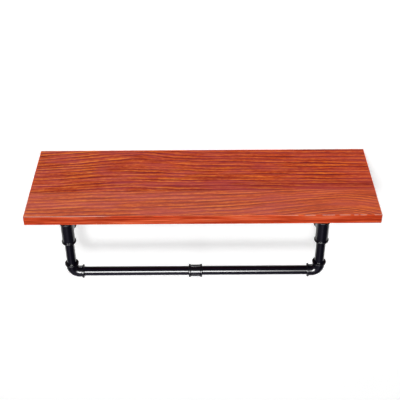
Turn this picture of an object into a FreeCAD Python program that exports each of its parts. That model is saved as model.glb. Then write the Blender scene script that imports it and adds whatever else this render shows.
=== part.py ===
# Wall shelf: a laminated board carried by two threaded-pipe brackets, with a hanging rail between them.
#
# Each bracket is a flange on the wall, a pipe out to a tee, a close nipple up to a flange under the board,
# and a pipe down to an elbow. The two elbows hold the rail, which is two pipes joined by a coupling.
#
# Millimetres. The origin is on the wall, midway between the two wall flanges and level with their axes.
# +X is to the right for someone facing the wall, -Y points out of the wall, and +Z is up.

import FreeCAD
import Part
import math
import os

# ---- Driving dimensions ------------------------------------------------------------------------------

# Board
board_length = 762.0
board_depth = 254.0
core_thickness = 20.0
laminate_thickness = 1.0
edge_band_thickness = 1.0
board_shift = 17.0            # the board's middle is this far to the right of the brackets' middle

# Layout of the brackets
bracket_spacing = 563.0       # between the axes of the two drop pipes
bracket_setback = 42.0        # from the board's front edge back to the axes of the drop pipes
board_rise = 74.0             # from the wall pipes' axes up to the top of the board
rail_drop = 117.0             # from the wall pipes' axes down to the rail's axis

# Pipe
pipe_diameter = 21.3
pipe_wall = 2.8
pipe_end_chamfer = 0.6

# Threads, drawn as rings of the true pitch
thread_pitch = 1.814
thread_depth = 0.9
thread_engagement = 10.0      # how far a pipe screws into a fitting
exposed_thread = 1.2          # thread that stays in sight outside the fitting
thread_crest = 0.3            # flat width left on top of each ring
thread_clearance = 0.15       # radial gap between a ring's top and the socket around it
mouth_chamfer = 0.8           # bevel at the mouth of each socket

# Tees
tee_centre_to_end = 29.0
tee_body_diameter = 28.4
tee_branch_diameter = 27.2
tee_band_diameter = 32.6
tee_junction_rounding = 3.0   # hollow rounding where the branch leaves the run

# Elbows
elbow_centre_to_end = 27.0
elbow_body_diameter = 26.2
elbow_band_diameter = 31.4

# Coupling
coupling_length = 30.6
coupling_body_diameter = 27.3
coupling_band_diameter = 30.8

# The raised band around the mouth of every fitting
band_width = 4.4
band_rounding = 1.3
band_blend = 1.0              # hollow rounding where the band meets the body

# Flanges
flange_diameter = 72.0
flange_plate = 4.2
flange_height = 16.0
flange_hub_diameter = 28.6
flange_band_diameter = 32.0
flange_rim_rounding = 1.2
flange_hub_blend = 3.0
screw_circle = 52.0           # diameter of the circle through the four screw holes
screw_hole_diameter = 6.0
screws_per_flange = 4

# Pan head screws that hold the board
screw_diameter = 4.8
screw_length = 18.0
screw_head_diameter = 9.2
screw_head_height = 3.1
screw_head_rounding = 1.4
screw_tip_length = 4.0
screw_pitch = 2.0
screw_thread_depth = 0.7
screw_thread_crest = 0.3
recess_width = 1.1
recess_length = 5.0
recess_depth = 1.8
pilot_clearance = 0.1         # radial gap around a screw in the board
pilot_end_gap = 1.0           # room left past a screw's tip

# ---- Places that follow from them --------------------------------------------------------------------

UP = FreeCAD.Vector(0, 0, 1)
DOWN = FreeCAD.Vector(0, 0, -1)
LEFT = FreeCAD.Vector(-1, 0, 0)
RIGHT = FreeCAD.Vector(1, 0, 0)
TO_WALL = FreeCAD.Vector(0, 1, 0)
TO_ROOM = FreeCAD.Vector(0, -1, 0)
WHOLE_TURN = 360.0
QUARTER_TURN = 90.0

board_thickness = core_thickness + 2 * laminate_thickness
board_top = board_rise
board_underside = board_top - board_thickness
bracket_y = -board_depth + bracket_setback
bracket_x = bracket_spacing / 2

pipe_radius = pipe_diameter / 2
passage_radius = pipe_radius - pipe_wall
socket_radius = pipe_radius + thread_clearance
elbow_bend_radius = elbow_centre_to_end - thread_engagement
screw_radius = screw_diameter / 2
pilot_radius = screw_radius + pilot_clearance

tee_top = tee_centre_to_end
tee_bottom = -tee_centre_to_end
tee_wall_end = bracket_y + tee_centre_to_end
shelf_flange_mouth = board_underside - flange_height
wall_flange_mouth = -flange_height
elbow_top = -rail_drop + elbow_centre_to_end
elbow_mouth_x = bracket_x - elbow_centre_to_end
coupling_mouth_x = coupling_length / 2


# ---- Helpers -----------------------------------------------------------------------------------------

def point(radius, height):
    """A point of a turned outline, in the plane that is spun about Z."""
    return FreeCAD.Vector(radius, 0, height)


def rounded_outline(corners):
    """A closed wire through (radius, height, rounding) corners, with a tangent arc at each rounding."""
    count = len(corners)
    starts = []
    ends = []
    arcs = []
    for index in range(count):
        here = point(*corners[index][:2])
        rounding = corners[index][2]
        back = (point(*corners[index - 1][:2]) - here).normalize()
        ahead = (point(*corners[(index + 1) % count][:2]) - here).normalize()
        if rounding == 0:
            starts.append(here)
            ends.append(here)
            continue
        half_angle = back.getAngle(ahead) / 2
        trim = rounding / math.tan(half_angle)
        middle_line = (back + ahead).normalize()
        centre = here + middle_line * (rounding / math.sin(half_angle))
        starts.append(here + back * trim)
        ends.append(here + ahead * trim)
        arcs.append(Part.Arc(starts[-1], centre - middle_line * rounding, ends[-1]).toShape())
    lines = [Part.makeLine(ends[index - 1], starts[index]) for index in range(count)]
    return Part.Wire(Part.__sortEdges__(lines + arcs))


def turned(corners, base, direction):
    """The solid made by spinning an outline, with its axis from base along direction."""
    face = Part.Face(rounded_outline(corners))
    solid = face.revolve(FreeCAD.Vector(0, 0, 0), UP, WHOLE_TURN)
    solid.Placement = FreeCAD.Placement(base, FreeCAD.Rotation(UP, direction))
    return solid


def sharp(*pairs):
    """Corners with no rounding."""
    return [(radius, height, 0) for radius, height in pairs]


def threaded_side(crest_radius, depth, crest, pitch, start, stop):
    """The (radius, height) zigzag of thread rings from start up to stop, beginning and ending on a crest."""
    rings = int((stop - start) / pitch)
    flank = (pitch - crest) / 2
    zigzag = []
    for ring in range(rings):
        foot = start + ring * pitch
        zigzag.append((crest_radius, foot + crest))
        zigzag.append((crest_radius - depth, foot + crest + flank))
        zigzag.append((crest_radius, foot + pitch))
    return zigzag


def pipe(base, direction, length):
    """A length of pipe, threaded at both ends."""
    threaded = thread_engagement + exposed_thread
    lower = threaded_side(pipe_radius, thread_depth, thread_crest, thread_pitch, pipe_end_chamfer, threaded)
    upper = [(radius, length - height) for radius, height in reversed(lower)]
    side = [(pipe_radius - pipe_end_chamfer, 0), (pipe_radius, pipe_end_chamfer)]
    side += lower + upper
    side += [(pipe_radius, length - pipe_end_chamfer), (pipe_radius - pipe_end_chamfer, length)]
    return turned(sharp((passage_radius, 0), *side, (passage_radius, length)), base, direction)


def pipe_between(first_mouth, direction, gap):
    """A pipe screwed into two sockets whose mouths face each other across a gap."""
    return pipe(first_mouth - direction * thread_engagement, direction, gap + 2 * thread_engagement)


def banded_end(body_radius, band_radius, mouth):
    """Corners of a fitting's outside from its body to its mouth, with the raised band."""
    return [
        (body_radius, mouth - band_width, band_blend),
        (band_radius, mouth - band_width, band_rounding),
        (band_radius, mouth, band_rounding),
    ]


def arm(centre, direction, body_radius, band_radius, reach):
    """The outside of one arm of a fitting, from its centre to its mouth."""
    corners = sharp((0, 0), (body_radius, 0))
    corners += banded_end(body_radius, band_radius, reach)
    corners += sharp((0, reach))
    return turned(corners, centre, direction)


def socket(centre, direction, reach):
    """The hollow that a pipe end screws into, bevelled at its mouth, which is at reach from the centre."""
    floor = reach - thread_engagement
    corners = sharp(
        (0, floor),
        (socket_radius, floor),
        (socket_radius, reach - mouth_chamfer),
        (socket_radius + mouth_chamfer, reach),
        (0, reach),
    )
    return turned(corners, centre, direction)


def passage(centre, direction, reach):
    """The narrower hollow from a fitting's centre to the floor of the socket at reach."""
    return Part.makeCylinder(passage_radius, reach - thread_engagement, centre, direction)


def bend(centre, radius, side):
    """A quarter ring of round bar from the vertical arm to the arm towards the rail, for one side."""
    pivot = centre + FreeCAD.Vector(-side * elbow_bend_radius, 0, elbow_bend_radius)
    start = centre + UP * elbow_bend_radius
    disc = Part.Face(Part.Wire(Part.Circle(start, DOWN, radius).toShape()))
    return disc.revolve(pivot, TO_WALL * side, QUARTER_TURN)


def around_screw_circle(make, base, direction):
    """One shape per screw hole, made at each place on a flange's screw circle."""
    turn_to = FreeCAD.Rotation(UP, direction)
    shapes = []
    for number in range(screws_per_flange):
        angle = 2 * math.pi * (number + 0.5) / screws_per_flange
        spot = FreeCAD.Vector(math.cos(angle), math.sin(angle), 0) * (screw_circle / 2)
        shapes.append(make(base + turn_to.multVec(spot)))
    return shapes


# ---- Bracket pieces ----------------------------------------------------------------------------------

def make_flange(base, direction):
    """A floor flange with its back face at base and its mouth along direction."""
    hub_radius = flange_hub_diameter / 2
    outline = sharp((0, 0), (flange_diameter / 2, 0))
    outline += [
        (flange_diameter / 2, flange_plate, flange_rim_rounding),
        (hub_radius, flange_plate, flange_hub_blend),
    ]
    outline += banded_end(hub_radius, flange_band_diameter / 2, flange_height)
    outline += sharp((0, flange_height))
    body = turned(outline, base, direction)
    body = body.cut([passage(base, direction, flange_height), socket(base, direction, flange_height)])

    def hole(spot):
        return Part.makeCylinder(screw_hole_diameter / 2, flange_plate, spot, direction)

    return body.cut(around_screw_circle(hole, base, direction))


def junction_edges(body):
    """The curved edges where a tee's branch meets its run. All its other wide edges are circles."""
    wide = [edge for edge in body.Edges if edge.BoundBox.XLength > pipe_radius]
    return [edge for edge in wide if not isinstance(edge.Curve, Part.Circle)]


def make_tee(centre):
    """A tee with its run upright and its branch towards the wall."""
    band_radius = tee_band_diameter / 2
    body = arm(centre, UP, tee_body_diameter / 2, band_radius, tee_centre_to_end)
    body = body.fuse([
        arm(centre, DOWN, tee_body_diameter / 2, band_radius, tee_centre_to_end),
        arm(centre, TO_WALL, tee_branch_diameter / 2, band_radius, tee_centre_to_end),
    ]).removeSplitter()
    body = body.makeFillet(tee_junction_rounding, junction_edges(body))
    hollow = []
    for way in (UP, DOWN, TO_WALL):
        hollow += [passage(centre, way, tee_centre_to_end), socket(centre, way, tee_centre_to_end)]
    return body.cut(hollow).removeSplitter()


def make_elbow(centre, side):
    """An elbow with one mouth up and the other towards the rail."""
    to_rail = LEFT * side
    body_radius = elbow_body_diameter / 2
    band_radius = elbow_band_diameter / 2
    mouths = []
    hollow = [bend(centre, passage_radius, side)]
    for way in (UP, to_rail):
        corners = sharp((0, elbow_bend_radius), (body_radius, elbow_bend_radius))
        corners += banded_end(body_radius, band_radius, elbow_centre_to_end)
        corners += sharp((0, elbow_centre_to_end))
        mouths.append(turned(corners, centre, way))
        hollow.append(socket(centre, way, elbow_centre_to_end))
    body = bend(centre, body_radius, side).fuse(mouths)
    return body.cut(hollow).removeSplitter()


def make_coupling(centre):
    """The coupling in the middle of the rail."""
    body_radius = coupling_body_diameter / 2
    band_radius = coupling_band_diameter / 2
    half = coupling_length / 2
    right_end = banded_end(body_radius, band_radius, half)
    left_end = [(radius, -height, rounding) for radius, height, rounding in reversed(right_end)]
    body = turned(sharp((0, -half)) + left_end + right_end + sharp((0, half)), centre, RIGHT)
    hollow = []
    for way in (LEFT, RIGHT):
        hollow += [passage(centre, way, half), socket(centre, way, half)]
    return body.cut(hollow)


# ---- Screws and board --------------------------------------------------------------------------------

def make_screw(seat):
    """A pan head screw that points up, with the underside of its head at seat."""
    head_radius = screw_head_diameter / 2
    thread_stop = screw_length - screw_tip_length
    rings = threaded_side(
        screw_radius, screw_thread_depth, screw_thread_crest, screw_pitch, flange_plate, thread_stop)
    outline = [(0, -screw_head_height, 0), (head_radius, -screw_head_height, screw_head_rounding)]
    outline += sharp((head_radius, 0), (screw_radius, 0), *rings)
    outline += sharp((screw_radius, thread_stop), (0, screw_length))
    screw = turned(outline, seat, UP)
    slots = []
    for length, width in ((recess_length, recess_width), (recess_width, recess_length)):
        corner = seat - FreeCAD.Vector(length / 2, width / 2, screw_head_height)
        slots.append(Part.makeBox(length, width, recess_depth, corner))
    return screw.cut(slots)


def make_screws(base):
    """The four screws of one flange under the board."""
    def screw(spot):
        return make_screw(spot + DOWN * flange_plate)

    return Part.makeCompound(around_screw_circle(screw, base, DOWN))


def slab(left, right, front, back, bottom, top):
    """A box between six planes."""
    return Part.makeBox(right - left, back - front, top - bottom, FreeCAD.Vector(left, front, bottom))


def pilot_holes():
    """The holes that the flange screws turn into, from the board's underside up."""
    depth = screw_length - flange_plate + pilot_end_gap

    def hole(spot):
        return Part.makeCylinder(pilot_radius, depth, spot, UP)

    holes = []
    for side in (-1, 1):
        base = FreeCAD.Vector(side * bracket_x, bracket_y, board_underside)
        holes += around_screw_circle(hole, base, DOWN)
    return holes


def make_board():
    """The board's core, its two laminates and its four edge bands, by name."""
    left = board_shift - board_length / 2
    right = board_shift + board_length / 2
    front = -board_depth
    back = 0
    core_left = left + edge_band_thickness
    core_right = right - edge_band_thickness
    core_front = front + edge_band_thickness
    core_back = back - edge_band_thickness
    core_bottom = board_underside + laminate_thickness
    core_top = core_bottom + core_thickness
    inside_bands = (core_left, core_right, core_front, core_back)
    full_height = (board_underside, board_top)
    holes = pilot_holes()
    return {
        "board_core": slab(*inside_bands, core_bottom, core_top).cut(holes),
        "top_laminate": slab(*inside_bands, core_top, board_top),
        "bottom_laminate": slab(*inside_bands, board_underside, core_bottom).cut(holes),
        "front_edge_band": slab(left, right, front, core_front, *full_height),
        "back_edge_band": slab(left, right, core_back, back, *full_height),
        "left_edge_band": slab(left, core_left, core_front, core_back, *full_height),
        "right_edge_band": slab(core_right, right, core_front, core_back, *full_height),
    }


def make_bracket(name, side):
    """All pieces of one bracket and its half of the rail, by name. side is -1 for left and 1 for right."""
    x = side * bracket_x
    tee_centre = FreeCAD.Vector(x, bracket_y, 0)
    elbow_centre = FreeCAD.Vector(x, bracket_y, -rail_drop)
    under_board = FreeCAD.Vector(x, bracket_y, board_underside)
    on_wall = FreeCAD.Vector(x, 0, 0)
    to_rail = LEFT * side
    elbow_mouth = elbow_centre + to_rail * elbow_centre_to_end
    return {
        "wall_flange_" + name: make_flange(on_wall, TO_ROOM),
        "wall_pipe_" + name: pipe_between(
            FreeCAD.Vector(x, tee_wall_end, 0), TO_WALL, wall_flange_mouth - tee_wall_end),
        "tee_" + name: make_tee(tee_centre),
        "close_nipple_" + name: pipe_between(
            FreeCAD.Vector(x, bracket_y, tee_top), UP, shelf_flange_mouth - tee_top),
        "shelf_flange_" + name: make_flange(under_board, DOWN),
        "shelf_screws_" + name: make_screws(under_board),
        "drop_pipe_" + name: pipe_between(
            FreeCAD.Vector(x, bracket_y, elbow_top), UP, tee_bottom - elbow_top),
        "elbow_" + name: make_elbow(elbow_centre, side),
        "rail_pipe_" + name: pipe_between(
            elbow_mouth, to_rail, elbow_mouth_x - coupling_mouth_x),
    }


# ---- The whole shelf ---------------------------------------------------------------------------------

parts = make_board()
parts.update(make_bracket("left", -1))
parts.update(make_bracket("right", 1))
parts["rail_coupling"] = make_coupling(FreeCAD.Vector(0, bracket_y, -rail_drop))

os.makedirs("parts", exist_ok=True)
for node, shape in parts.items():
    shape.exportStep("parts/" + node + ".step")
    print(node, "solids", len(shape.Solids), "volume", round(shape.Volume, 1), "valid", shape.isValid())
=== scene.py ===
# %% [markdown]
# # A wall shelf on pipe brackets
# This lesson dresses a measured model of a small wall shelf: one wood-print board, two brackets made
# from half-inch threaded pipe, and a pipe rail for hangers below the board.
# The measured model comes first and never moves. Every new piece takes its size and place from it, so
# that a thread, a screw or a strip of edging sits where the real one would.

# %% Load the measured model
import math

import bmesh
import bpy
from mathutils import Matrix, Vector
from mathutils.geometry import intersect_point_line


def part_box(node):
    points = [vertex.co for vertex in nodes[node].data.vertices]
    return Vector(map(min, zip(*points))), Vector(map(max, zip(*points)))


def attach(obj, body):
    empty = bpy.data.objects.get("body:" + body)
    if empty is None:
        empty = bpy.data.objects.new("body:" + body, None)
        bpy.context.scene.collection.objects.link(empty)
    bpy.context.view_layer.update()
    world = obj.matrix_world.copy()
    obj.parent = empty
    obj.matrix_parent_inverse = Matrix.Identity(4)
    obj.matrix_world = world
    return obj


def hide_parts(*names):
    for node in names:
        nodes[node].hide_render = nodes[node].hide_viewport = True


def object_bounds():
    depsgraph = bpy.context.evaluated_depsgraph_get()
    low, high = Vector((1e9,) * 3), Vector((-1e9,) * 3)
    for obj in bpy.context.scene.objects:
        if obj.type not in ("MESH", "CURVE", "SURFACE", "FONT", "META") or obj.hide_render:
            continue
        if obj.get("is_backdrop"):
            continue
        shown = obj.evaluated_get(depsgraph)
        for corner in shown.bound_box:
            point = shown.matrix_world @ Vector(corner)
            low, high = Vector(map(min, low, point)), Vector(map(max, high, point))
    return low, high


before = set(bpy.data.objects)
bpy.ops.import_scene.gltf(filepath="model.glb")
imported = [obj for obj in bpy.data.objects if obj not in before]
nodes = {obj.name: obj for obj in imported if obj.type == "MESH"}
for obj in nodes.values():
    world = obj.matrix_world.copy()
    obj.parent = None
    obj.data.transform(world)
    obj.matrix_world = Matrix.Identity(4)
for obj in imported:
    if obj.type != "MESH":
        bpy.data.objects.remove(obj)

measured_low, measured_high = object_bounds()
print("measured pieces:", len(nodes))
for corner in (measured_low, measured_high):
    print("corner of the box, mm:", [round(1000 * v, 1) for v in corner])

# %% [markdown]
# ## The camera
# The shelf is seen from the front and from well above, so that the board's top shows as a wide band and
# the rail hangs below it. A long lens from just under two metres keeps the brackets nearly parallel.
# The camera is turned in three steps, as a photographer does: aim left or right, tilt down, then roll.

# %% Camera
SENSOR_WIDTH = 36.0
LENS = 73.63
CAMERA_PLACE = (0.01425, -1.62033, 1.13786)
AIM_LEFT = math.radians(0.11)
TILT_DOWN = math.radians(36.79)
ROLL = math.radians(0.43)

camera_data = bpy.data.cameras.new("camera")
camera_data.sensor_width = SENSOR_WIDTH
camera_data.lens = LENS
camera = bpy.data.objects.new("camera", camera_data)
bpy.context.scene.collection.objects.link(camera)
aim = Matrix.Rotation(AIM_LEFT, 4, "Z") @ Matrix.Rotation(math.pi / 2 - TILT_DOWN, 4, "X")
camera.matrix_world = Matrix.Translation(CAMERA_PLACE) @ aim @ Matrix.Rotation(-ROLL, 4, "Z")
bpy.context.scene.camera = camera
print("camera looks down by", round(math.degrees(TILT_DOWN), 1), "degrees")

# %% [markdown]
# ## Working by hand, in code
# Modelling in edit mode always goes the same way: nothing else is selected, the piece is active, and the
# edges to work on are picked by where they are. These helpers do that, and they leave the piece at the
# origin with its place in its mesh.

# %% Helpers for edit mode
MERGE_DISTANCE = 1e-6


def make_active(piece):
    bpy.ops.object.select_all(action="DESELECT")
    piece.select_set(True)
    bpy.context.view_layer.objects.active = piece


def start_editing(piece):
    make_active(piece)
    bpy.ops.object.mode_set(mode="EDIT")


def stop_editing():
    bpy.ops.object.mode_set(mode="OBJECT")


def close_up(piece):
    """Merges vertices that lie on one another, and turns every face outward."""
    start_editing(piece)
    bpy.ops.mesh.select_all(action="SELECT")
    bpy.ops.mesh.remove_doubles(threshold=MERGE_DISTANCE)
    bpy.ops.mesh.normals_make_consistent(inside=False)
    stop_editing()


def pick_edges(piece, wanted):
    """Selects the edges whose two ends make wanted(start, end) true, and counts them."""
    bpy.ops.mesh.select_mode(type="EDGE")
    bpy.ops.mesh.select_all(action="DESELECT")
    mesh = bmesh.from_edit_mesh(piece.data)
    picked = [edge for edge in mesh.edges if wanted(edge.verts[0].co, edge.verts[1].co)]
    for edge in picked:
        edge.select_set(True)
    bmesh.update_edit_mesh(piece.data)
    return len(picked)


# %% [markdown]
# ## The board
# A board like this is particle board with a printed wood decor glued on top and below, and a thin
# printed strip ironed on around its sides. The strips are trimmed flush and their corners broken with a
# file, which leaves a narrow soft corner that catches the light. A box with bevelled edges gives just
# that: one width for the corners that a hand can touch, and a much finer one where two pieces are glued.

# %% Top sheet and edge strips
FILED_CORNER = 0.0004
GLUED_CORNER = 0.0001


def make_box(name, low, high):
    """A box between two corners, as the start of a piece."""
    bpy.ops.object.select_all(action="DESELECT")
    bpy.ops.mesh.primitive_cube_add(size=1, location=(low + high) / 2)
    piece = bpy.context.object
    piece.name = name
    piece.scale = high - low
    bpy.ops.object.transform_apply(location=True, rotation=True, scale=True)
    return piece


def soften(piece, wanted, width, segments):
    """Bevels the edges that wanted picks."""
    start_editing(piece)
    count = pick_edges(piece, wanted)
    bpy.ops.mesh.bevel(offset=width, segments=segments, affect="EDGES")
    stop_editing()
    return count


def on_plane(axis, level):
    """True for an edge that lies in the plane where axis is at level."""
    return lambda a, b: abs(a[axis] - level) < 1e-6 and abs(b[axis] - level) < 1e-6


new_pieces = {}
top_low, top_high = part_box("top_laminate")
top_sheet = make_box("top_sheet", top_low, top_high)
soften(top_sheet, on_plane(2, top_high.z), GLUED_CORNER, 1)
new_pieces[top_sheet] = ["top_laminate"]

for side, axis, outward in (("front", 1, -1), ("back", 1, 1), ("left", 0, -1), ("right", 0, 1)):
    low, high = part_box(side + "_edge_band")
    strip = make_box(side + "_edge_strip", low, high)
    outer, inner = (high[axis], low[axis]) if outward > 0 else (low[axis], high[axis])
    soften(strip, on_plane(axis, outer), FILED_CORNER, 3)
    soften(strip, on_plane(axis, inner), GLUED_CORNER, 1)
    new_pieces[strip] = [side + "_edge_band"]
    print(strip.name, "faces", len(strip.data.polygons))

# %% [markdown]
# ## Pipes with real threads
# A pipe is round all the way along, so its shape is an outline spun about an axis. The outline is
# drawn with a vertex that is extruded from corner to corner. The two threaded stretches are divided
# finely before the spin, and afterwards their rings are pushed in along a helix of the true pitch. The
# push fades out where the die stopped cutting, as a real thread does.

# %% A lathe
RING_STEPS = 64


def draw_outline(name, corners, closed):
    """A chain of edges through (radius, height) corners, in the plane y = 0."""
    bpy.ops.object.select_all(action="DESELECT")
    bpy.ops.mesh.primitive_plane_add(size=0.001)
    piece = bpy.context.object
    piece.name = name
    bpy.ops.object.mode_set(mode="EDIT")
    bpy.ops.mesh.select_mode(type="VERT")
    bpy.ops.mesh.select_all(action="SELECT")
    bpy.ops.mesh.merge(type="CENTER")
    points = [Vector((radius, 0, height)) for radius, height in corners]
    bpy.ops.transform.translate(value=points[0])
    if closed:
        points.append(points[0])
    for here, there in zip(points, points[1:]):
        bpy.ops.mesh.extrude_region_move(TRANSFORM_OT_translate={"value": there - here})
    bpy.ops.mesh.select_all(action="SELECT")
    bpy.ops.mesh.remove_doubles(threshold=MERGE_DISTANCE)
    return piece


def spin_outline(piece, steps):
    """Spins the whole outline once around the Z axis and closes the seam."""
    bpy.ops.mesh.select_all(action="SELECT")
    bpy.ops.mesh.spin(steps=steps, angle=2 * math.pi, center=(0, 0, 0), axis=(0, 0, 1))
    stop_editing()
    close_up(piece)


def smooth(piece, degrees):
    """Smooth shading, except over corners sharper than the angle."""
    make_active(piece)
    bpy.ops.object.shade_smooth_by_angle(angle=math.radians(degrees))


# %% Cutting a thread
PIPE_RADIUS = 0.01065
PIPE_BORE = 0.00785
PIPE_CHAMFER = 0.0006
PIPE_PITCH = 0.001814
PIPE_THREAD_DEPTH = 0.0009
PIPE_THREADED = 0.0112
PIPE_CREST_SHARE = 0.12
PLAIN_RING = 0.0010
CUTS_PER_PITCH = 10
GROOVE_FLOOR = 0.95
JUST_INSIDE = 1e-5


def groove(turns, crest_share):
    """How deep a thread is cut, 0 to 1, at a number of turns along it. Its crest is flat."""
    from_crest = abs((turns + 0.5) % 1 - 0.5) * 2
    return min(1, max(0, (from_crest - crest_share) / (GROOVE_FLOOR - crest_share)))


def cut_thread(piece, start, stop, end, pitch, depth, crest_share, bore=0.0):
    """Pushes the surface outside the bore in along a helix. The groove is full from the piece's end at
    start and fades over one pitch before stop. end is 1 or -1, the way that the thread runs."""
    length = (stop - start) * end
    for vertex in piece.data.vertices:
        along = (vertex.co.z - start) * end
        radius = math.hypot(vertex.co.x, vertex.co.y)
        if not 0 < along < length or radius < bore + JUST_INSIDE:
            continue
        turns = along / pitch - end * math.atan2(vertex.co.y, vertex.co.x) / (2 * math.pi)
        fade = min(1, (length - along) / pitch)
        share = (radius - depth * fade * groove(turns, crest_share)) / radius
        vertex.co.x *= share
        vertex.co.y *= share


def make_pipe(length):
    """A pipe from the origin up the Z axis, threaded at both ends. A plain ring just past each thread
    keeps the smooth shading of the long stretch between them free from the thread's slopes."""
    plain_start, plain_stop = PIPE_THREADED + PLAIN_RING, length - PIPE_THREADED - PLAIN_RING
    corners = [
        (PIPE_BORE, 0),
        (PIPE_RADIUS - PIPE_CHAMFER, 0),
        (PIPE_RADIUS, PIPE_CHAMFER),
        (PIPE_RADIUS, PIPE_THREADED),
        (PIPE_RADIUS, plain_start),
        (PIPE_RADIUS, plain_stop),
        (PIPE_RADIUS, length - PIPE_THREADED),
        (PIPE_RADIUS, length - PIPE_CHAMFER),
        (PIPE_RADIUS - PIPE_CHAMFER, length),
        (PIPE_BORE, length),
    ]
    pipe = draw_outline("pipe", corners, closed=True)

    def in_thread(a, b):
        low, high = sorted((a.z, b.z))
        outside = min(a.x, b.x) > PIPE_RADIUS - 1e-6
        return outside and high - low > PIPE_CHAMFER and (
            high < PIPE_THREADED + 1e-6 or low > length - PIPE_THREADED - 1e-6)

    pick_edges(pipe, in_thread)
    cuts = round((PIPE_THREADED - PIPE_CHAMFER) / PIPE_PITCH * CUTS_PER_PITCH)
    bpy.ops.mesh.subdivide(number_cuts=cuts)
    spin_outline(pipe, RING_STEPS)
    for start, stop, end in ((0, PIPE_THREADED, 1), (length, length - PIPE_THREADED, -1)):
        cut_thread(pipe, start, stop, end, PIPE_PITCH, PIPE_THREAD_DEPTH, PIPE_CREST_SHARE, PIPE_BORE)
    smooth(pipe, 40)
    return pipe


# %% Pipes in their places
def copy_to(master, name, matrix):
    """A copy with a mesh of its own, at a place that is in the mesh."""
    piece = master.copy()
    piece.data = master.data.copy()
    piece.name = name
    piece.data.name = name
    piece.data.transform(matrix)
    bpy.context.scene.collection.objects.link(piece)
    return piece


def along_axis(low, high, axis):
    """The matrix that lays a piece on the Z axis along another axis, from the low end of a box."""
    start = (low + high) / 2
    start[axis] = low[axis]
    direction = Vector((0, 0, 0))
    direction[axis] = 1
    return Matrix.Translation(start) @ direction.to_track_quat("Z", "Y").to_matrix().to_4x4()


for kind, axis in (("wall_pipe", 1), ("close_nipple", 2), ("drop_pipe", 2), ("rail_pipe", 0)):
    low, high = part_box(kind + "_left")
    master = make_pipe(high[axis] - low[axis])
    for side in ("left", "right"):
        low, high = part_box(kind + "_" + side)
        piece = copy_to(master, "threaded_" + kind + "_" + side, along_axis(low, high, axis))
        new_pieces[piece] = [kind + "_" + side]
    length = round(1000 * (high[axis] - low[axis]), 1)
    print(kind, "length mm", length, "faces", len(piece.data.polygons))
    bpy.data.objects.remove(master)

# %% [markdown]
# ## Castings with seams and ribs
# Tees, elbows and the coupling are castings. Where the two halves of the sand mould met, a fine raised
# seam is left, and the coupling has four ribs between its bands, which a wrench grips. Both are made the
# same way on a merged copy of the measured piece, whose flat pairs of triangles are first joined to
# quads. Two cuts on either side of a plane mark out a strip, the strip's outer faces are extruded
# outward, and their tops are drawn in, as a mould's sides slope. The ribs' corners are then rounded.

# %% Raised strips
SEAM_HALF_WIDTH = 0.0005
SEAM_HEIGHT = 0.0003
RIB_HALF_WIDTH = 0.0013
RIB_HEIGHT = 0.0012
BAND_ZONE = 0.0056
DRAFT = 0.35
FACES_OUTWARD = 0.7
ELBOW_STEPS = 12
X_WAY, Y_WAY, Z_WAY = Vector((1, 0, 0)), Vector((0, 1, 0)), Vector((0, 0, 1))


def merged_copy(node_name, name):
    """A copy of a measured piece as one closed skin, ready to be worked on."""
    node = nodes[node_name]
    mesh = node.data.copy()
    mesh.transform(node.matrix_world)
    mesh.name = name
    piece = bpy.data.objects.new(name, mesh)
    bpy.context.scene.collection.objects.link(piece)
    start_editing(piece)
    bpy.ops.mesh.customdata_custom_splitnormals_clear()
    stop_editing()
    close_up(piece)
    start_editing(piece)
    bpy.ops.mesh.tris_convert_to_quads(
        face_threshold=math.radians(1), shape_threshold=math.radians(10))
    stop_editing()
    return piece


def away_from(lines, point):
    """The way from the nearest point of a fitting's centre lines to a point."""
    ways = []
    for start, end in lines:
        share = intersect_point_line(point, start, end)[1]
        ways.append(point - start.lerp(end, min(1, max(0, share))))
    return min(ways, key=lambda way: way.length)


def raise_strip(piece, middle, across, half_width, height, lines, mouths):
    """Raises the outer skin in a strip along a plane, except on the bands at the mouths."""
    start_editing(piece)
    for side in (-1, 1):
        bpy.ops.mesh.select_all(action="SELECT")
        bpy.ops.mesh.bisect(plane_co=middle + across * half_width * side, plane_no=across)
    bpy.ops.mesh.select_mode(type="FACE")
    bpy.ops.mesh.select_all(action="DESELECT")
    mesh = bmesh.from_edit_mesh(piece.data)
    count = 0
    for face in mesh.faces:
        spot = face.calc_center_median()
        away = away_from(lines, spot)
        in_strip = abs((spot - middle).dot(across)) < half_width
        on_band = min((mouth - spot).dot(way) for mouth, way in mouths) < BAND_ZONE
        if in_strip and not on_band and face.normal.dot(away) > FACES_OUTWARD * away.length:
            face.select_set(True)
            count += 1
    bmesh.update_edit_mesh(piece.data)
    bpy.ops.mesh.extrude_region_shrink_fatten(TRANSFORM_OT_shrink_fatten={"value": height})
    mesh = bmesh.from_edit_mesh(piece.data)
    for vertex in mesh.verts:
        if vertex.select:
            vertex.co -= across * (vertex.co - middle).dot(across) * DRAFT
    bmesh.update_edit_mesh(piece.data)
    stop_editing()
    return count


def even_normals(piece):
    """Smooth shading in which the large faces have the say, so that long flat stretches stay flat."""
    smooth(piece, 40)
    weigh = piece.modifiers.new("weigh", "WEIGHTED_NORMAL")
    weigh.keep_sharp = True
    bpy.ops.object.modifier_apply(modifier=weigh.name)


# %% Tees, elbows and coupling
def middle_of(node_name):
    low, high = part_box(node_name)
    return (low + high) / 2


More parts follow.
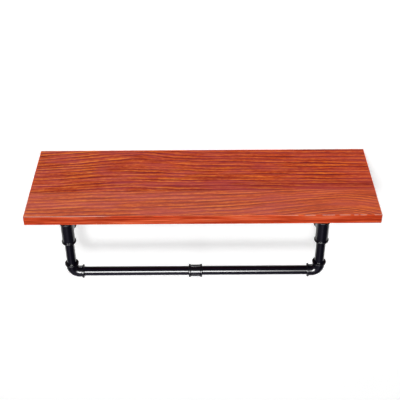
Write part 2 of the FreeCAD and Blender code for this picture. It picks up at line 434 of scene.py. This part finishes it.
for side, to_rail in (("left", X_WAY), ("right", -X_WAY)):
    upright = middle_of("drop_pipe_" + side)
    branch = middle_of("wall_pipe_" + side)
    rail_axis = middle_of("rail_pipe_" + side)

    centre = Vector((upright.x, upright.y, branch.z))
    low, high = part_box("tee_" + side)
    top, bottom = centre + Z_WAY * (high.z - centre.z), centre + Z_WAY * (low.z - centre.z)
    wall_end = centre + Y_WAY * (high.y - centre.y)
    lines = [(bottom, top), (centre, wall_end)]
    mouths = [(top, Z_WAY), (bottom, -Z_WAY), (wall_end, Y_WAY)]
    tee = merged_copy("tee_" + side, "cast_tee_" + side)
    count = raise_strip(tee, centre, X_WAY, SEAM_HALF_WIDTH, SEAM_HEIGHT, lines, mouths)
    even_normals(tee)
    new_pieces[tee] = ["tee_" + side]
    print(tee.name, "faces raised", count)

    centre = Vector((upright.x, upright.y, rail_axis.z))
    bend_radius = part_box("drop_pipe_" + side)[0].z - centre.z
    pivot = centre + (to_rail + Z_WAY) * bend_radius
    low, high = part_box("elbow_" + side)
    top = centre + Z_WAY * (high.z - centre.z)
    rail_end = centre + to_rail * (high.z - centre.z)
    route = [top]
    for step in range(ELBOW_STEPS + 1):
        angle = math.pi / 2 * step / ELBOW_STEPS
        route.append(pivot - (to_rail * math.cos(angle) + Z_WAY * math.sin(angle)) * bend_radius)
    route.append(rail_end)
    elbow = merged_copy("elbow_" + side, "cast_elbow_" + side)
    count = raise_strip(elbow, centre, Y_WAY, SEAM_HALF_WIDTH, SEAM_HEIGHT,
                        list(zip(route, route[1:])), [(top, Z_WAY), (rail_end, to_rail)])
    even_normals(elbow)
    new_pieces[elbow] = ["elbow_" + side]
    print(elbow.name, "faces raised", count)

FRONT_RIB = math.radians(-7)
BAND_EDGE_SLACK = 0.001
RIB_ROUNDING = 0.0006
RIB_FOOT = 0.01365
RIB_CORNER = (1 + RIB_HEIGHT / RIB_FOOT) * (1 - DRAFT)
low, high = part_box("rail_coupling")
centre = (low + high) / 2
left_end, right_end = centre - X_WAY * (centre.x - low.x), centre + X_WAY * (high.x - centre.x)
rib_zone = high.x - centre.x - BAND_ZONE + BAND_EDGE_SLACK
coupling = merged_copy("rail_coupling", "cast_coupling")
count = 0
for turn in (0, math.pi / 2):
    across = Vector((0, math.sin(FRONT_RIB + turn), math.cos(FRONT_RIB + turn)))
    count += raise_strip(coupling, centre, across, RIB_HALF_WIDTH, RIB_HEIGHT,
                         [(left_end, right_end)], [(left_end, -X_WAY), (right_end, X_WAY)])

    def on_rib_corner(a, b):
        sides = [(point - centre).dot(across) / RIB_HALF_WIDTH for point in (a, b)]
        heights = [(point - centre).cross(X_WAY).length - RIB_FOOT for point in (a, b)]
        between_bands = max(abs(a.x - centre.x), abs(b.x - centre.x)) < rib_zone
        along = abs(sides[0] - sides[1]) < 0.01 and abs(abs(sides[0]) - RIB_CORNER) < 0.03
        return along and between_bands and 0.8 * RIB_HEIGHT < min(heights)

    corners = soften(coupling, on_rib_corner, RIB_ROUNDING, 3)
    print("rib corners rounded", corners)
close_up(coupling)
even_normals(coupling)
new_pieces[coupling] = ["rail_coupling"]
print(coupling.name, "faces raised", count)

# %% [markdown]
# ## Screws under the board
# Each flange under the board is held by four pan head screws. The head is spun like the pipes, with a
# low dome and a narrow bevelled rim, and the cross recess is cut out of it with two tapered bars, the
# way the punch goes in. The shank is plain just under the head, then threaded, and ends in a point.

# %% One screw, then copies
SCREW_RADIUS = 0.0024
SCREW_LENGTH = 0.018
SCREW_PITCH = 0.002
SCREW_THREAD_DEPTH = 0.0007
SCREW_TIP = 0.004
SCREW_PLAIN = 0.0030
SCREW_CREST_SHARE = 0.2
SCREW_CUTS = 55
SCREW_RING_STEPS = 40
HEAD_RADIUS = 0.0046
HEAD_HEIGHT = 0.0031
RECESS_HALF_LENGTH = 0.0025
RECESS_HALF_WIDTH = 0.00055
RECESS_DEPTH = 0.0018
PUNCH_TAPER = 0.6
DOME_STEPS = 8
RIM_HEIGHT = 0.0004
RIM_BEVEL = 0.0002

screw_corners = []
for step in range(DOME_STEPS):
    angle = math.pi / 2 * step / DOME_STEPS
    screw_corners.append(
        (HEAD_RADIUS * math.sin(angle) ** 0.7, -HEAD_HEIGHT * math.cos(angle) ** 0.55))
tip_start = SCREW_LENGTH - SCREW_TIP
screw_corners += [(HEAD_RADIUS, -RIM_HEIGHT), (HEAD_RADIUS - RIM_BEVEL, 0), (SCREW_RADIUS, 0)]
screw_corners += [(SCREW_RADIUS, SCREW_PLAIN), (SCREW_RADIUS, tip_start), (0, SCREW_LENGTH)]
screw = draw_outline("screw", screw_corners, closed=False)


def on_shank(a, b):
    return min(a.x, b.x) > SCREW_RADIUS - 1e-6 and min(a.z, b.z) > SCREW_PLAIN - 1e-6


pick_edges(screw, on_shank)
bpy.ops.mesh.subdivide(number_cuts=SCREW_CUTS)
spin_outline(screw, SCREW_RING_STEPS)
cut_thread(screw, tip_start + JUST_INSIDE, SCREW_PLAIN, -1,
           SCREW_PITCH, SCREW_THREAD_DEPTH, SCREW_CREST_SHARE)

for half_x, half_y in ((RECESS_HALF_LENGTH, RECESS_HALF_WIDTH), (RECESS_HALF_WIDTH, RECESS_HALF_LENGTH)):
    cutter = make_box("punch", Vector((-half_x, -half_y, -2 * HEAD_HEIGHT)),
                      Vector((half_x, half_y, RECESS_DEPTH - HEAD_HEIGHT)))
    start_editing(cutter)
    bpy.ops.mesh.select_mode(type="FACE")
    bpy.ops.mesh.select_all(action="DESELECT")
    mesh = bmesh.from_edit_mesh(cutter.data)
    for face in mesh.faces:
        face.select_set(face.normal.z > 0.9)
    bmesh.update_edit_mesh(cutter.data)
    bpy.ops.transform.resize(value=(PUNCH_TAPER, PUNCH_TAPER, 1))
    stop_editing()
    cut = screw.modifiers.new("recess", "BOOLEAN")
    cut.operation = "DIFFERENCE"
    cut.object = cutter
    make_active(screw)
    bpy.ops.object.modifier_apply(modifier=cut.name)
    bpy.data.objects.remove(cutter)
close_up(screw)
smooth(screw, 35)

for side in ("left", "right"):
    low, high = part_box("shelf_screws_" + side)
    seat_height = high.z - SCREW_LENGTH
    inset = Vector((HEAD_RADIUS, HEAD_RADIUS, 0))
    first, last = low + inset, high - inset
    places = [(x, y) for y in (first.y, last.y) for x in (first.x, last.x)]
    for number, (x, y) in enumerate(places, 1):
        turned = Matrix.Translation((x, y, seat_height)) @ Matrix.Rotation(0.7 * number, 4, "Z")
        piece = copy_to(screw, "shelf_screw_" + side + "_" + str(number), turned)
        new_pieces[piece] = ["shelf_screws_" + side]
print("one screw has faces", len(screw.data.polygons))
bpy.data.objects.remove(screw)

# %% [markdown]
# ## Materials as sums
# A procedural material is a calculation: from a point on the piece to a colour, a roughness and a bump.
# This small class lets the calculation be written as a sum, and each step becomes one node. All patterns
# read object coordinates in metres, so a streak that is 5 mm wide in the sum is 5 mm wide on the shelf.

# %% A small language for node sums
class Number:
    """A number that runs through a material's nodes."""

    def __init__(self, tree, socket):
        self.tree = tree
        self.socket = socket

    def then(self, operation, *others, clamp=False):
        node = self.tree.nodes.new("ShaderNodeMath")
        node.operation = operation
        node.use_clamp = clamp
        for index, value in enumerate((self, *others)):
            if isinstance(value, Number):
                self.tree.links.new(value.socket, node.inputs[index])
            else:
                node.inputs[index].default_value = value
        return Number(self.tree, node.outputs[0])

    def __add__(self, other):
        return self.then("ADD", other)

    def __sub__(self, other):
        return self.then("SUBTRACT", other)

    def __rsub__(self, other):
        return self.then("MULTIPLY_ADD", -1.0, other)

    def __mul__(self, other):
        return self.then("MULTIPLY", other)

    def __truediv__(self, other):
        return self.then("DIVIDE", other)

    def __abs__(self):
        return self.then("ABSOLUTE")

    __radd__ = __add__
    __rmul__ = __mul__

    def between(self, low, high):
        """0 below low, 1 above high, and smooth between. With low above high it runs the other way."""
        node = self.tree.nodes.new("ShaderNodeMapRange")
        node.interpolation_type = "SMOOTHSTEP"
        self.tree.links.new(self.socket, node.inputs["Value"])
        node.inputs["From Min"].default_value = low
        node.inputs["From Max"].default_value = high
        return Number(self.tree, node.outputs["Result"])

    def bell(self, middle, width):
        """1 at middle, falling to 0 on both sides like a bell."""
        away = (self - middle) / width
        return (away * away * -0.5).then("EXPONENT")


class Finish:
    """One material, with the tools that its sum needs."""

    def __init__(self, name):
        self.material = bpy.data.materials.new(name)
        self.material.use_nodes = True
        self.tree = self.material.node_tree
        self.shader = self.tree.nodes["Principled BSDF"]
        place = self.tree.nodes.new("ShaderNodeTexCoord")
        split = self.tree.nodes.new("ShaderNodeSeparateXYZ")
        self.tree.links.new(place.outputs["Object"], split.inputs[0])
        self.x, self.y, self.z = (Number(self.tree, socket) for socket in split.outputs)

    def join(self, *parts):
        """A vector from up to three numbers."""
        node = self.tree.nodes.new("ShaderNodeCombineXYZ")
        for index, part in enumerate(parts):
            if isinstance(part, Number):
                self.tree.links.new(part.socket, node.inputs[index])
            else:
                node.inputs[index].default_value = part
        return node.outputs[0]

    def noise(self, x, y, z=0.0, detail=2.0, roughness=0.5):
        """Soft random values from 0 to 1 whose grains are one unit of x, y and z across."""
        node = self.tree.nodes.new("ShaderNodeTexNoise")
        node.inputs["Scale"].default_value = 1.0
        node.inputs["Detail"].default_value = detail
        node.inputs["Roughness"].default_value = roughness
        self.tree.links.new(self.join(x, y, z), node.inputs["Vector"])
        return Number(self.tree, node.outputs["Fac"])

    def ramp(self, value, *stops):
        """A colour from a number, through (position, colour) stops."""
        node = self.tree.nodes.new("ShaderNodeValToRGB")
        points = node.color_ramp.elements
        while len(points) < len(stops):
            points.new(1.0)
        for point, (position, colour) in zip(points, stops):
            point.position = position
            point.color = colour
        self.tree.links.new(value.socket, node.inputs["Fac"])
        return node.outputs["Color"]

    def blend(self, share, first, second, way="MIX"):
        """A mix of two colours. share 0 is the first."""
        node = self.tree.nodes.new("ShaderNodeMix")
        node.data_type = "RGBA"
        node.blend_type = way
        for name, value in (("Factor", share), ("A", first), ("B", second)):
            socket = [s for s in node.inputs if s.name == name and s.enabled][0]
            if isinstance(value, Number):
                self.tree.links.new(value.socket, socket)
            elif isinstance(value, bpy.types.NodeSocket):
                self.tree.links.new(value, socket)
            else:
                socket.default_value = value
        return [s for s in node.outputs if s.name == "Result" and s.enabled][0]

    def bump(self, height, depth):
        """Bumps the surface by height times depth, in metres."""
        node = self.tree.nodes.new("ShaderNodeBump")
        node.inputs["Strength"].default_value = 1.0
        node.inputs["Distance"].default_value = depth
        self.tree.links.new(height.socket, node.inputs["Height"])
        self.tree.links.new(node.outputs["Normal"], self.shader.inputs["Normal"])

    def wire(self, colour, roughness):
        """Joins the colour and the roughness to the shader."""
        self.tree.links.new(colour, self.shader.inputs["Base Color"])
        self.tree.links.new(roughness.socket, self.shader.inputs["Roughness"])


def paint(red, green, blue):
    """A colour as a screen shows it, 0 to 255, as the light that a shader needs."""
    shares = [value / 255 for value in (red, green, blue)]
    light = [s / 12.92 if s < 0.04045 else ((s + 0.055) / 1.055) ** 2.4 for s in shares]
    return (*light, 1.0)


# %% [markdown]
# ## The wood print
# The decor shows reddish wood with long dark growth lines. It is printed as two planks side by side: in
# the back plank the lines rise over a broad hill, and in the front plank they climb to the right and
# arch over near the end. The sum first bends the board's depth into a growth coordinate, in which every
# line is straight, and then draws streaks that are long along the board and fine across it. Last, the
# whole print is given a deeper tone towards the right and the back.

# %% Wood print
PRINT_SPECULAR = 0.08
DEEPER_TONE = (1.0, 0.77, 0.46, 1.0)


def growth(finish):
    """The growth coordinate in metres across the lines, 1 on the back plank or 0 on the front one, and
    the depth at which the two planks meet."""
    x, y = finish.x, finish.y
    seam = x * 0.0112 - 0.1634
    behind = (y - seam).between(-0.0004, 0.0004)
    up_back = (y - seam) / 0.163
    rise = (up_back.between(0.6, 1.0) * 0.014 + 0.0165) * x.between(-0.40, -0.12)
    fall = (up_back.between(0.6, 1.0) * 0.010 + 0.0075) * x.between(-0.14, 0.03)
    fall = fall + x.between(0.10, 0.42) * 0.007
    down_front = (seam - y) / 0.088
    climb = x * 0.042 + (down_front * 0.032 + 0.009) * x.between(0.05, 0.38)
    arch = (down_front * 0.030 + 0.008) * x.between(0.31, 0.42)
    waver = (finish.noise(x * 7.0, y * 22.0, 3.0, detail=1.5) - 0.5) * 0.009
    lift = (rise - fall) * behind + (climb - arch) * (1.0 - behind) + waver
    return y - lift, behind, seam


def wood_print(name):
    finish = Finish(name)
    x, y = finish.x, finish.y
    across, behind, seam = growth(finish)
    plank = behind * 7.0
    wander = finish.noise(x * 2.0, across * 22.0, plank, detail=1.0) * 1.5
    jitter = finish.noise(x * 22.0, across * 90.0, plank + 4.0, detail=3.0, roughness=0.6) * 0.46
    ring = (across * 84.0 + wander + jitter).then("FRACT")
    strength = finish.noise(x * 4.5, across * 84.0, plank + 17.0, detail=2.0).between(0.26, 0.56)
    line = ring.between(0.60, 0.84) * ring.between(1.0, 0.95) * strength
    glow = ring.between(0.00, 0.10) * ring.between(0.50, 0.20) * strength
    streak = finish.noise(x * 9.0, across * 250.0, plank + 11.0, detail=2.5, roughness=0.6)
    short = finish.noise(x * 85.0, across * 230.0, plank + 31.0, detail=2.5, roughness=0.6)
    fine = finish.noise(x * 45.0, across * 620.0, plank + 23.0, detail=2.0)
    cloud = finish.noise(x * 18.0, y * 60.0, plank + 41.0, detail=3.0, roughness=0.65)
    uneven = (short - 0.5) * 0.55 + (fine - 0.5) * 0.5 + (cloud - 0.5) * 0.35
    tone = (streak - 0.5) * 1.1 + uneven + glow * 0.20 + 0.45
    wood = finish.ramp(
        tone,
        (0.20, paint(130, 34, 10)),
        (0.40, paint(168, 55, 18)),
        (0.55, paint(194, 78, 25)),
        (0.76, paint(227, 123, 46)),
    )
    wood = finish.blend(line * 0.98, wood, paint(104, 9, 23))
    by_seam = (y - seam).bell(0.013, 0.013) * x.between(-0.20, 0.10) * behind
    wood = finish.blend(by_seam * 0.44, wood, paint(134, 36, 42))
    seam_line = abs(y - seam).between(0.0012, 0.0003) * behind
    wood = finish.blend(seam_line * 0.45, wood, paint(110, 26, 26))
    rosy = finish.noise(x * 9.0, y * 40.0, 60.0, detail=2.0, roughness=0.6).between(0.40, 0.66)
    wood = finish.blend(rosy * 0.38, wood, paint(184, 76, 84))
    wood = finish.blend((1.0 - behind) * 0.22, wood, paint(216, 122, 95))
    deeper = (x * 0.5 + y).between(-0.25, 0.12)
    wood = finish.blend(deeper, wood, DEEPER_TONE, way="MULTIPLY")
    scuffs = finish.noise(x * 60.0, y * 60.0, 5.0, detail=4.0, roughness=0.7)
    finish.wire(wood, (fine - 0.5) * 0.12 + (scuffs - 0.5) * 0.16 + 0.42)
    finish.shader.inputs["Specular IOR Level"].default_value = PRINT_SPECULAR
    finish.bump(fine * 0.4 + scuffs * 0.1 - line * 0.5, 0.00006)
    return finish.material


wood_material = wood_print("wood print laminate")
print("nodes in the wood print:", len(wood_material.node_tree.nodes))

# %% [markdown]
# ## The edge strips
# The strips carry a redder, stronger print with short straight streaks. Along the top of the front edge,
# where the strip's corner was filed, a thin pale pinkish line is painted: unbroken near one end, in
# dashes near the other, and missing in the middle.

# %% Edge strips
STRIP_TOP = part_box("front_edge_band")[1].z


def edge_print(name, along):
    """along is "x" for the strips at the front and back, and "y" for those at the ends."""
    finish = Finish(name)
    run = getattr(finish, along)
    z = finish.z
    streak = finish.noise(run * 9.0, z * 360.0, 2.0, detail=3.0, roughness=0.65)
    broad = finish.noise(run * 4.0, z * 90.0, 8.0, detail=1.0)
    fine = finish.noise(run * 40.0, z * 1300.0, 12.0, detail=2.0)
    tone = (streak - 0.5) * 0.9 + (broad - 0.5) * 0.6 + (fine - 0.5) * 0.15 + 0.51
    wood = finish.ramp(
        tone,
        (0.30, paint(172, 44, 12)),
        (0.45, paint(211, 67, 27)),
        (0.55, paint(235, 86, 43)),
        (0.68, paint(255, 124, 78)),
    )
    line = abs(finish.noise(run * 5.0, z * 240.0, 19.0, detail=1.0) - 0.5).between(0.035, 0.008)
    wood = finish.blend(line * 0.45, wood, paint(140, 34, 12))
    # A thin pale pinkish line is painted along the top edge, near both ends.
    near_top = z.between(STRIP_TOP - 0.0009, STRIP_TOP - 0.0003)
    left_part = run.between(-0.17, -0.20)
    dashes = finish.noise(run * 55.0, 0.0, 33.0, detail=1.0).between(0.44, 0.50)
    right_part = run.between(0.17, 0.23) * dashes
    pale_top_line = near_top * (left_part + right_part * 0.9)
    wood = finish.blend(pale_top_line * 0.85, wood, paint(232, 190, 172))
    finish.wire(wood, (streak - 0.5) * 0.14 + 0.42)
    finish.shader.inputs["Specular IOR Level"].default_value = PRINT_SPECULAR
    finish.bump(streak * 0.6 + (1.0 - line) * 0.4, 0.00005)
    return finish.material


long_strip_material = edge_print("edge strip print", "x")
end_strip_material = edge_print("end strip print", "y")

# %% [markdown]
# ## The core
# Under its decor the board is particle board: flat chips of many tones pressed together with glue.
# Voronoi cells stretched along the board stand for the chips.

# %% Particle board
def particle_board(name):
    finish = Finish(name)
    cells = finish.tree.nodes.new("ShaderNodeTexVoronoi")
    cells.inputs["Scale"].default_value = 1.0
    spread = finish.join(finish.x * 260.0, finish.y * 420.0, finish.z * 900.0)
    finish.tree.links.new(spread, cells.inputs["Vector"])
    split = finish.tree.nodes.new("ShaderNodeSeparateColor")
    finish.tree.links.new(cells.outputs["Color"], split.inputs["Color"])
    chip = Number(finish.tree, split.outputs[0])
    colour = finish.ramp(
        chip, (0.0, paint(150, 112, 74)), (0.5, paint(186, 148, 104)), (1.0, paint(214, 182, 138)))
    finish.wire(colour, chip * 0.2 + 0.7)
    finish.bump(Number(finish.tree, cells.outputs["Distance"]), 0.0003)
    return finish.material


core_material = particle_board("particle board")

# %% [markdown]
# ## Black gloss on pipe, casting and screw
# Pipe and fittings are sprayed in black gloss. The spray leaves a faint orange peel, which makes long
# highlights waver, and dust settles in it here and there. On a casting the sand's grain shows through,
# so the fittings get a coarser bump and a less even gloss. The screws are blackened, not sprayed, and
# their black is warmer, duller and rubbed lighter in patches.

# %% Black finishes
def black_gloss(name, grain, grain_depth, level):
    """Sprayed black. grain is the size of the bumps in metres."""
    finish = Finish(name)
    x, y, z = finish.x, finish.y, finish.z
    peel = finish.noise(x / grain, y / grain, z / grain, detail=2.0)
    cloud = finish.noise(x * 38.0, y * 38.0, z * 38.0 + 5.0, detail=3.0, roughness=0.6)
    speck = finish.noise(x * 900.0, y * 900.0, z * 900.0 + 9.0, detail=2.0, roughness=0.7)
    dust = speck.between(0.66, 0.78) * cloud.between(0.40, 0.65)
    colour = finish.ramp(cloud, (0.3, paint(5, 4, 12)), (0.7, paint(12, 10, 24)))
    colour = finish.blend(dust * 0.25, colour, paint(70, 68, 70))
    finish.wire(colour, (cloud - 0.5) * 0.10 + dust * 0.25 + level)
    finish.bump(peel + speck * 0.08, grain_depth)
    return finish.material


pipe_material = black_gloss("black gloss pipe", 0.0060, 0.000006, 0.15)
fitting_material = black_gloss("black gloss casting", 0.0016, 0.00004, 0.21)


def blackened_steel(name):
    finish = Finish(name)
    x, y, z = finish.x, finish.y, finish.z
    mottle = finish.noise(x * 700.0, y * 700.0, z * 700.0, detail=3.0, roughness=0.6)
    rubbed = finish.noise(x * 260.0, y * 260.0, z * 260.0 + 3.0, detail=2.0).between(0.55, 0.75)
    colour = finish.ramp(mottle, (0.3, paint(28, 27, 26)), (0.7, paint(52, 50, 48)))
    colour = finish.blend(rubbed * 0.4, colour, paint(96, 93, 90))
    finish.wire(colour, mottle * 0.25 + 0.28)
    finish.shader.inputs["Metallic"].default_value = 0.8
    finish.bump(mottle, 0.00003)
    return finish.material


screw_material = blackened_steel("blackened steel")

# %% [markdown]
# ## Dressing the pieces
# Now every piece gets its finish. New pieces ride on the shelf's one body and hide the measured pieces
# that they stand for, and measured pieces that keep their own shape just take the finish.

# %% Finishes and bodies
def dress(piece, material, slot):
    if piece.material_slots:
        for holder in piece.material_slots:
            holder.material = material
    else:
        piece.data.materials.append(material)


FINISH_OF = [
    ("top_", wood_material, "wood_print_laminate"),
    ("bottom_", wood_material, "wood_print_laminate"),
    ("front_", long_strip_material, "wood_print_edge"),
    ("back_", long_strip_material, "wood_print_edge"),
    ("left_", end_strip_material, "wood_print_edge"),
    ("right_", end_strip_material, "wood_print_edge"),
    ("board_core", core_material, "particle_board"),
    ("shelf_screw", screw_material, "black_screw"),
    ("threaded_", pipe_material, "black_pipe"),
    ("cast_", fitting_material, "black_fitting"),
    ("shelf_flange_", fitting_material, "black_fitting"),
    ("wall_flange_", fitting_material, "black_fitting"),
]

for piece, stands_for in new_pieces.items():
    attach(piece, "root")
    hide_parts(*stands_for)
for piece in [*new_pieces, *nodes.values()]:
    if piece.hide_render:
        continue
    material, slot = next(row[1:] for row in FINISH_OF if piece.name.startswith(row[0]))
    dress(piece, material, slot)
kept = sum(not node.hide_render for node in nodes.values())
print("new pieces:", len(new_pieces), "measured pieces kept:", kept)

# %% [markdown]
# ## Wall and floor
# The shelf hangs on a white wall, and a pale floor lies a metre below. Both are one-sided, so that the
# shelf can also be seen from behind and from below. A glow that only the camera, reflections and glass
# see lifts them to white, so no lamp has to be turned up for them, and the wall keeps the soft shadow
# that the rail throws on it. The floor is left out of reflections, which keeps the black pipe black.

# %% Stage
WALL_GAP = 0.001
FLOOR_LEVEL = -1.0
REACH = 6
WALL_SHADE, WALL_GLOW = 0.80, 0.53
FLOOR_SHADE, FLOOR_GLOW = 0.60, 0.46


def stage_material(name, shade, glow):
    """A matt grey that looks lighter by glow to the camera, in reflections and through glass, and is
    clear from behind."""
    material = bpy.data.materials.new(name)
    material.use_nodes = True
    tree = material.node_tree
    tree.nodes.clear()
    matt = tree.nodes.new("ShaderNodeBsdfDiffuse")
    matt.inputs["Color"].default_value = (shade, shade, shade, 1)
    rays = tree.nodes.new("ShaderNodeLightPath")
    seen = Number(tree, rays.outputs["Is Camera Ray"])
    for kind in ("Is Glossy Ray", "Is Transmission Ray"):
        seen = seen.then("MAXIMUM", Number(tree, rays.outputs[kind]))
    light = tree.nodes.new("ShaderNodeEmission")
    light.inputs["Color"].default_value = (glow, glow, glow, 1)
    tree.links.new(seen.socket, light.inputs["Strength"])
    both = tree.nodes.new("ShaderNodeAddShader")
    tree.links.new(matt.outputs[0], both.inputs[0])
    tree.links.new(light.outputs[0], both.inputs[1])
    clear = tree.nodes.new("ShaderNodeBsdfTransparent")
    side = tree.nodes.new("ShaderNodeNewGeometry")
    choose = tree.nodes.new("ShaderNodeMixShader")
    tree.links.new(side.outputs["Backfacing"], choose.inputs[0])
    tree.links.new(both.outputs[0], choose.inputs[1])
    tree.links.new(clear.outputs[0], choose.inputs[2])
    output = tree.nodes.new("ShaderNodeOutputMaterial")
    tree.links.new(choose.outputs[0], output.inputs["Surface"])
    return material


def make_sheet(name, low, high, turn, material):
    """A flat sheet between two corners of its own plane, turned about the X axis."""
    bpy.ops.object.select_all(action="DESELECT")
    bpy.ops.mesh.primitive_plane_add(size=1, location=(low + high) / 2, rotation=(turn, 0, 0))
    sheet = bpy.context.object
    sheet.name = name
    extent = high - low
    sheet.scale = (extent.x, max(extent.y, extent.z), 1)
    bpy.ops.object.transform_apply(location=True, rotation=True, scale=True)
    sheet.data.materials.append(material)
    sheet.visible_diffuse = False
    sheet.visible_shadow = False
    sheet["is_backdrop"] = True
    return sheet


wall_material = stage_material("white wall", WALL_SHADE, WALL_GLOW)
floor_material = stage_material("pale floor", FLOOR_SHADE, FLOOR_GLOW)
wall = make_sheet("wall", Vector((-REACH, WALL_GAP, -REACH)), Vector((REACH, WALL_GAP, REACH)),
                  math.pi / 2, wall_material)
floor = make_sheet("floor", Vector((-REACH, -REACH, FLOOR_LEVEL)), Vector((REACH, 0, FLOOR_LEVEL)),
                   0, floor_material)
floor.visible_glossy = False
print("the wall faces", [round(v, 2) for v in wall.data.polygons[0].normal])

# %% [markdown]
# ## Light
# A round key lamp in front and a little to the left throws the rail's soft shadow on the wall. A wide
# sun from behind and above lays even light on the board's top, and the world fills in, more from above
# than from below. Gloss black shows almost nothing but reflections, so it gets its own: four strip
# lights, each one to the right dimmer than the last, draw the bright line along the rail and light
# nothing else. The key and the sun stay out of reflections. There the world is dim, slightly violet and
# darker to the right, with one soft brighter band. To the camera and through glass it is white.

# %% Lights and world
AIM = middle_of("rail_coupling")


def direction_from(azimuth, elevation):
    """The unit vector towards a light. Azimuth 0 is in front, plus is to the right."""
    a, e = math.radians(azimuth), math.radians(elevation)
    return Vector((math.sin(a) * math.cos(e), -math.cos(a) * math.cos(e), math.sin(e)))


def lamp(name, kind, place, towards, watts):
    data = bpy.data.lights.new(name, kind)
    data.energy = watts
    made = bpy.data.objects.new(name, data)
    made.location = place
    made.rotation_mode = "QUATERNION"
    made.rotation_quaternion = towards.to_track_quat("Z", "Y")
    bpy.context.scene.collection.objects.link(made)
    return made


KEY_DISTANCE = 3.0
KEY_WIDTH = 0.40
KEY_WATTS = 38
to_key = direction_from(-2.8, 25.5)
key = lamp("key", "AREA", AIM + to_key * KEY_DISTANCE, to_key, KEY_WATTS)
key.data.shape = "DISK"
key.data.size = KEY_WIDTH
key.visible_glossy = False

OVER_STRENGTH = 1.1
OVER_SPREAD = math.radians(30)
to_over = direction_from(178, 62)
over = lamp("over", "SUN", to_over, to_over, OVER_STRENGTH)
over.data.angle = OVER_SPREAD
over.visible_glossy = False

STRIP_DISTANCE = 2.2
STRIP_HEIGHT = 0.85
STRIP_RADIANCE = 30
# Each strip: its left and right end in metres, and its share of the radiance.
STRIPS = ((-1.5, 0.21, 1.0), (0.21, 0.30, 0.70), (0.30, 0.42, 0.45), (0.42, 1.2, 0.20))
to_strip = direction_from(0, 14.5)
for number, (left, right, share) in enumerate(STRIPS, 1):
    watts = STRIP_RADIANCE * share * math.pi * (right - left) * STRIP_HEIGHT
    place = AIM + to_strip * STRIP_DISTANCE + Vector(((left + right) / 2, 0, 0))
    tube = lamp("strip_" + str(number), "AREA", place, to_strip, watts)
    tube.data.shape = "RECTANGLE"
    tube.data.size = right - left
    tube.data.size_y = STRIP_HEIGHT
    tube.visible_diffuse = False

WORLD_SEEN = 1.0
FILL_ABOVE = 0.50
FILL_BELOW = 0.20
MIRRORED_LEFT = 0.16
MIRRORED_RIGHT = 0.05
MIRRORED_BAND = 0.40
MIRRORED_COLOUR = (0.80, 0.74, 1.0, 1)
world = bpy.data.worlds.new("studio")
world.use_nodes = True
bpy.context.scene.world = world
tree = world.node_tree
sky = tree.nodes["Background"]
way = tree.nodes.new("ShaderNodeTexCoord")
split = tree.nodes.new("ShaderNodeSeparateXYZ")
tree.links.new(way.outputs["Generated"], split.inputs[0])
sideways, away, upward = (Number(tree, socket) for socket in split.outputs)
fill = upward.between(-0.3, 0.3) * (FILL_ABOVE - FILL_BELOW) + FILL_BELOW
mirrored = sideways.between(0.5, -0.5) * (MIRRORED_LEFT - MIRRORED_RIGHT) + MIRRORED_RIGHT
band = sideways.bell(-0.10, 0.13) * away.between(0.0, -0.3) * upward.between(0.0, -0.2)
mirrored = mirrored + band * MIRRORED_BAND
path = tree.nodes.new("ShaderNodeLightPath")
through = Number(tree, path.outputs["Is Transmission Ray"])
seen = Number(tree, path.outputs["Is Camera Ray"]).then("MAXIMUM", through)
in_gloss = Number(tree, path.outputs["Is Glossy Ray"])
level = fill * (1.0 - in_gloss) + mirrored * in_gloss
level = level * (1.0 - seen) + seen * WORLD_SEEN
tree.links.new(level.socket, sky.inputs["Strength"])
tint = tree.nodes.new("ShaderNodeMixRGB")
tint.inputs[1].default_value = (1, 1, 1, 1)
tint.inputs[2].default_value = MIRRORED_COLOUR
tree.links.new(in_gloss.socket, tint.inputs[0])
tree.links.new(tint.outputs[0], sky.inputs["Color"])
bpy.context.scene.view_settings.view_transform = "Standard"

# %% [markdown]
# ## Last look at the size
# The dressed shelf's box is held against the measured box, and the largest change between them is
# printed. The dressed shelf has to stay inside the measured box.

# %% Sizes and finish
dressed_low, dressed_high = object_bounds()
change = max((dressed_low - measured_low).length, (dressed_high - measured_high).length)
print("largest change of the box, mm:", round(1000 * change, 3))
